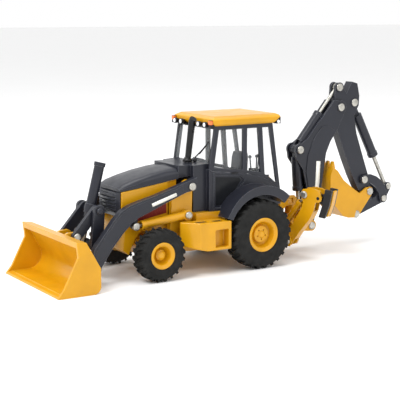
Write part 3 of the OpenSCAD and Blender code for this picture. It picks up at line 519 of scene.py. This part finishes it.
def make_exhaust():
    """A stack that leans back a little, widens and turns aside at its top."""
    foot = at(21.4, 2, 40.2)
    lean = math.radians(7.7)
    straight, bend = 14.4, 2.6
    turn = math.radians(42)
    narrow, widening = 1.15, 0.2

    def build(shape):
        up = Vector((-math.sin(lean), 0, math.cos(lean)))
        add_turned(shape, foot, (0, 0, 1), [(1.9, 0), (1.9, 0.5), (1.75, 0.9), (1.35, 1.1),
                                            (1.3, 1.5)], 40)
        top = foot + up * straight * MM
        turns = [turn * i / 8 for i in range(9)]
        path = [foot + up * height * MM for height in (0.5, 5, 9.5)]
        path += [top + (Vector((0, 1 - math.cos(a), 0)) + up * math.sin(a)) * bend * MM
                 for a in turns]
        add_tube(shape, path, lambda share: narrow + widening * min(1, share * 3.5), 40)

    piece("exhaust_pipe", "chassis", FINISHES["black_plastic"], build, 0.1,
          ["exhaust_stack"])


def make_lamp_glass():
    """Lenses in the front and rear lamps, and the turn signals at the roof's front corners."""
    dome = [(0.84, -0.25), (0.84, 0), (0.7, 0.14), (0.35, 0.22), (0.02, 0.24)]
    small = [(radius * 0.8, height) for radius, height in dome]

    def build(shape):
        for side in SIDES:
            # Two lamps at the front, one lens behind and one on the outside at the rear
            for y in (6.2, 10.6):
                add_turned(shape, at(19.55, side * y, 54.5), (1, 0, 0), dome, 24)
            add_turned(shape, at(-12.7, side * 13.15, 54.7), (-1, 0, 0), small, 24)
            add_turned(shape, at(-11.75, side * 14.1, 54.45), (0, side, 0), small, 24)

    piece("lamp_glass", "chassis", LENS, build)

    def signals(shape):
        for y in (13.05, -13.05):
            add_box(shape, (17.72, y - 0.85, 54.6), (18.95, y + 0.85, 56.1))

    piece("turn_signals", "chassis", AMBER, signals, 0.25)


def make_wiper():
    """The front window's wiper: pivot, arm and blade."""
    def build(shape):
        foot = at(19.2, 3.4, 40.5)
        add_turned(shape, foot, (1, 0, 0.15), [(0.7, -0.5), (0.7, 0.2), (0.4, 0.45)], 20)
        add_tube(shape, [foot, at(18.95, 3.6, 41.8), at(18.35, 7.7, 45)], 0.24, 10)
        add_tube(shape, [at(18.4, 5.6, 43.2), at(17.7, 11.2, 48.3)], 0.3, 10)

    piece("wiper", "chassis", FINISHES["black_plastic"], build)


def make_door_details():
    """A raised frame and a handle on each door, and the dark lower pane pressed into it."""
    # Each bar of the frame: its two ends and half its width
    bars = (((17, 23), (17, 36.7), 0.3), ((3.2, 35.1), (17, 36.7), 0.25),
            ((10.2, 23.1), (17, 23.1), 0.28), ((2.6, 33.4), (10.2, 23.1), 0.3))

    def panes(shape):
        add_twin_prisms(shape, [(15.7, 24.4), (15.7, 35.1), (5.3, 34.1), (4.5, 33.1), (11, 24.4)],
                        CAB_FACE - 0.62, CAB_FACE - 0.42)

    piece("door_lower_panes", "chassis", GLASS_BLACK, panes, 0.06)

    def trim(shape):
        for side in SIDES:
            low = side * (CAB_FACE - 0.1)
            high = side * (CAB_FACE + 0.22)
            for foot, head, half in bars:
                along_x, along_z = head[0] - foot[0], head[1] - foot[1]
                length = math.hypot(along_x, along_z)
                nx, nz = -along_z / length * half, along_x / length * half
                add_prism(shape, [(foot[0] + nx, foot[1] + nz), (head[0] + nx, head[1] + nz),
                                  (head[0] - nx, head[1] - nz), (foot[0] - nx, foot[1] - nz)],
                          low, high)

    piece("door_trim", "chassis", FINISHES["slate_paint"], trim, 0.1)

    def handles(shape):
        for side in SIDES:
            grip = side * (CAB_FACE + 0.35)
            add_box(shape, (6.4, grip - 0.2, 35.9), (9.2, grip + 0.2, 36.4))
            for x in (6.6, 8.7):
                add_box(shape, (x, side * CAB_FACE - 0.2, 35.95),
                        (x + 0.3, side * CAB_FACE + 0.4, 36.35))

    piece("door_handles", "chassis", FINISHES["black_plastic"], handles, 0.08)


# ---- Trim of the bonnet, tank, arms, boom and pads ----

def make_louvres():
    """Dark red slatted vent on each side panel, below the loader arm."""
    rear, front, slats = 34.7, 49, 16
    step = (front - rear) / slats

    def low(x):
        return 22.9 - (x - rear) * 0.17

    def high(x):
        return 27.2 - (x - rear) * 0.3

    def build(shape):
        for side in SIDES:
            add_prism(shape, [(rear, low(rear)), (front, low(front)), (front + 0.5, high(front)),
                              (rear, high(rear))], side * 8.45, side * 8.98)
            for i in range(slats):
                x = rear + 0.25 + i * step
                add_prism(shape, [(x, low(x) + 0.3), (x + 0.5, low(x) + 0.3),
                                  (x + 0.5, high(x) - 0.3), (x, high(x) - 0.3)],
                          side * 8.9, side * 9.12)

    piece("side_louvres", "chassis", RED, build, 0.05)


def make_tank_slot_shades():
    """Black blocks in the two filler recesses on top of the tank, as painted shade in these slots.
    """
    def build(shape):
        add_box(shape, (16.1, 16.1, 18.7), (20.5, 19.3, 19.5))
        add_box(shape, (22.5, 15.7, 18.7), (27.3, 18.9, 19.6))

    piece("tank_slot_shades", "chassis", FINISHES["black_plastic"], build, 0.1)


ARM_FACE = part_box("loader_arms")[1].y / MM
ARM_RISE = 0.16
ARM_PANEL = [(30.5, 33.1), (41.4, 29.9), (47.6, 28.4), (52.2, 27.1), (55.4, 25.5), (58.4, 22.5),
             (62.3, 17.8), (65.9, 13.3), (66.9, 9.6), (64.6, 9.4), (62.6, 10.4), (59.8, 14.2),
             (55.8, 18.6), (52.2, 22.1), (49.7, 23.6), (45.7, 25.1), (37.8, 28.2), (30.5, 30.9)]
BOOM_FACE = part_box("boom")[1].y / MM
BOOM_RISE = 0.32
BOOM_PLATE = [(-36.2, 15.5), (-34.8, 25.8), (-33.5, 32), (-34.3, 38.6), (-37.3, 45.5),
              (-41.3, 50), (-44.5, 50.2), (-48.3, 47.6), (-45.4, 43.5), (-43.3, 39),
              (-42.2, 32.4), (-41.2, 25.5), (-39.1, 17), (-38.4, 14.8)]
ROOT = 0.1      # how deep a raised piece is set into the face it stands on


def make_arm_panels():
    """The raised face of each loader arm, inside its edge."""
    def build(shape):
        add_twin_prisms(shape, ARM_PANEL, ARM_FACE - ROOT, ARM_FACE + ARM_RISE)

    piece("arm_panels", "loader_lift", FINISHES["slate_paint"], build, 0.1)


def make_boom_plates():
    """The raised box-section plate along each side of the boom."""
    def build(shape):
        add_twin_prisms(shape, BOOM_PLATE, BOOM_FACE - ROOT, BOOM_FACE + BOOM_RISE)

    piece("boom_plates", "boom_arm", FINISHES["slate_paint"], build, 0.16)


def make_rivet_washers():
    """A dark washer under the rivet heads of two boom pivots and two dipper pivots."""
    section = [(2.0, -0.1), (2.0, 0.18), (1.85, 0.26), (1.2, 0.26), (1.2, -0.1)]
    washers = [("boom_arm", "boom", [(-30.6, 41.2), (-51, 57.3)]),
               ("dipper_arm", "dipper", [(-50.9, 65.3), (-58.9, 58.8)])]
    for body, node, places in washers:
        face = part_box(node)[1].y / MM

        def build(shape):
            for side in SIDES:
                for x, z in places:
                    add_turned(shape, at(x, side * face, z), (0, side, 0), section, 40,
                               closed=True)

        piece("rivet_washers_" + body, body, FINISHES["slate_paint"], build)


def make_pad_plates():
    """A yellow plate between the two dark strips of each stabilizer pad."""
    heading = math.radians(118)     # the leg's, from straight ahead, seen from above
    half_width = 1.6
    root = Vector((-22.5, 8.5, 0))
    out = Vector((math.cos(heading), math.sin(heading), 0))
    across = Vector((-out.y, out.x, 0))
    outline = [(15, 17.6), (16.1, 17.3), (17.7, 22), (18.8, 27.4), (17, 27.7), (16.4, 22.3)]
    for side, name in zip(SIDES, ("left", "right")):
        def build(shape):
            rings = []
            for width in (-half_width, half_width):
                ring = []
                for u, z in outline:
                    spot = root + out * u + across * width
                    ring.append(shape.verts.new(at(spot.x, side * spot.y, z)))
                rings.append(ring)
            add_loop_skin(shape, rings)

        piece("pad_plate_" + name, "pad_" + name, FINISHES["yellow_paint"], build, 0.12)


def make_stripes():
    """Plain pale stripes where such a toy carries its markings."""
    sunk, proud = 0.05, 0.04

    def arms(shape):
        surface = ARM_FACE + ARM_RISE
        add_twin_prisms(shape, [(33.6, 30.9), (33.2, 29.7), (43.4, 26.6), (43.8, 27.8)],
                        surface - sunk, surface + proud)

    piece("arm_stripes", "loader_lift", DECAL, arms)

    def boom(shape):
        surface = BOOM_FACE + BOOM_RISE
        add_twin_prisms(shape, [(-36.9, 19.4), (-38.8, 19.7), (-40.2, 27.3), (-40.6, 36),
                                (-38.6, 36.2), (-38.2, 27.2)], surface - sunk, surface + proud)

    piece("boom_stripes", "boom_arm", DECAL, boom)


# ---- Stage ----

TARGET = Vector((12.13, 0, 24.57)) * MM
CAMERA_AZIMUTH = math.radians(32.07)
CAMERA_ELEVATION = math.radians(9.58)
CAMERA_DISTANCE = 426.65 * MM
CAMERA_LENS = 100.47

# Each light: name, azimuth and elevation in degrees, distance and size in metres, power in watts
LIGHTS = (("key", 75, 50, 0.7, 0.3, 3), ("fill", -20, 30, 0.8, 0.5, 0.8),
          ("top", 180, 80, 0.7, 0.4, 1.6))


def direction(azimuth, elevation):
    """From the object outwards: azimuth counts from its left side towards its front."""
    return Vector((math.sin(azimuth) * math.cos(elevation),
                   math.cos(azimuth) * math.cos(elevation), math.sin(elevation)))


def make_camera():
    """The view from the left front."""
    data = bpy.data.cameras.new("camera")
    data.lens = CAMERA_LENS
    data.clip_start = 0.01
    data.clip_end = 20
    camera = bpy.data.objects.new("camera", data)
    bpy.context.scene.collection.objects.link(camera)
    back = direction(CAMERA_AZIMUTH, CAMERA_ELEVATION)
    camera.location = TARGET + back * CAMERA_DISTANCE
    camera.rotation_euler = (-back).to_track_quat("-Z", "Y").to_euler()
    bpy.context.scene.camera = camera


def make_light(name, azimuth, elevation, distance, size, power):
    """A round area light that points at the object."""
    data = bpy.data.lights.new(name, "AREA")
    data.shape = "DISK"
    data.size = size
    data.energy = power
    light = bpy.data.objects.new(name, data)
    bpy.context.scene.collection.objects.link(light)
    out = direction(math.radians(azimuth), math.radians(elevation))
    light.location = TARGET + out * distance
    light.rotation_euler = (-out).to_track_quat("-Z", "Y").to_euler()


def make_stage():
    """A pale floor, a white surround and the lights."""
    floor_finish = Finish("pale_floor", (0.9, 0.9, 0.9), 0.55, Specular_IOR_Level=0.15)
    floor_finish.set_colour(floor_finish.mixed(floor_finish.noise(60), (0.89, 0.89, 0.89),
                                               (0.91, 0.91, 0.91)))
    shape = bmesh.new()
    bmesh.ops.create_grid(shape, x_segments=1, y_segments=1, size=6)
    mesh = bpy.data.meshes.new("floor")
    shape.to_mesh(mesh)
    shape.free()
    mesh.materials.append(floor_finish.material)
    floor = bpy.data.objects.new("floor", mesh)
    bpy.context.scene.collection.objects.link(floor)
    world = bpy.data.worlds.new("studio")
    world.use_nodes = True
    background = world.node_tree.nodes["Background"]
    background.inputs["Color"].default_value = (1, 1, 1, 1)
    background.inputs["Strength"].default_value = 1.0
    bpy.context.scene.world = world
    for light in LIGHTS:
        make_light(*light)


# ---- The scene ----

bpy.context.scene.view_settings.view_transform = "Standard"
make_camera()
make_stage()
finish_cad_nodes()
make_tyres("rear_tyre_rubber", "rear_tyres", "rear_rims", "rear_wheels", width=8.2,
           count=25)
make_tyres("front_tyre_rubber", "front_tyres", "front_rims", "front_wheels", width=6.3,
           count=21)
make_seat()
make_controls()
make_exhaust()
make_lamp_glass()
make_wiper()
make_door_details()
make_louvres()
make_tank_slot_shades()
make_boom_plates()
make_arm_panels()
make_rivet_washers()
make_pad_plates()
make_stripes()
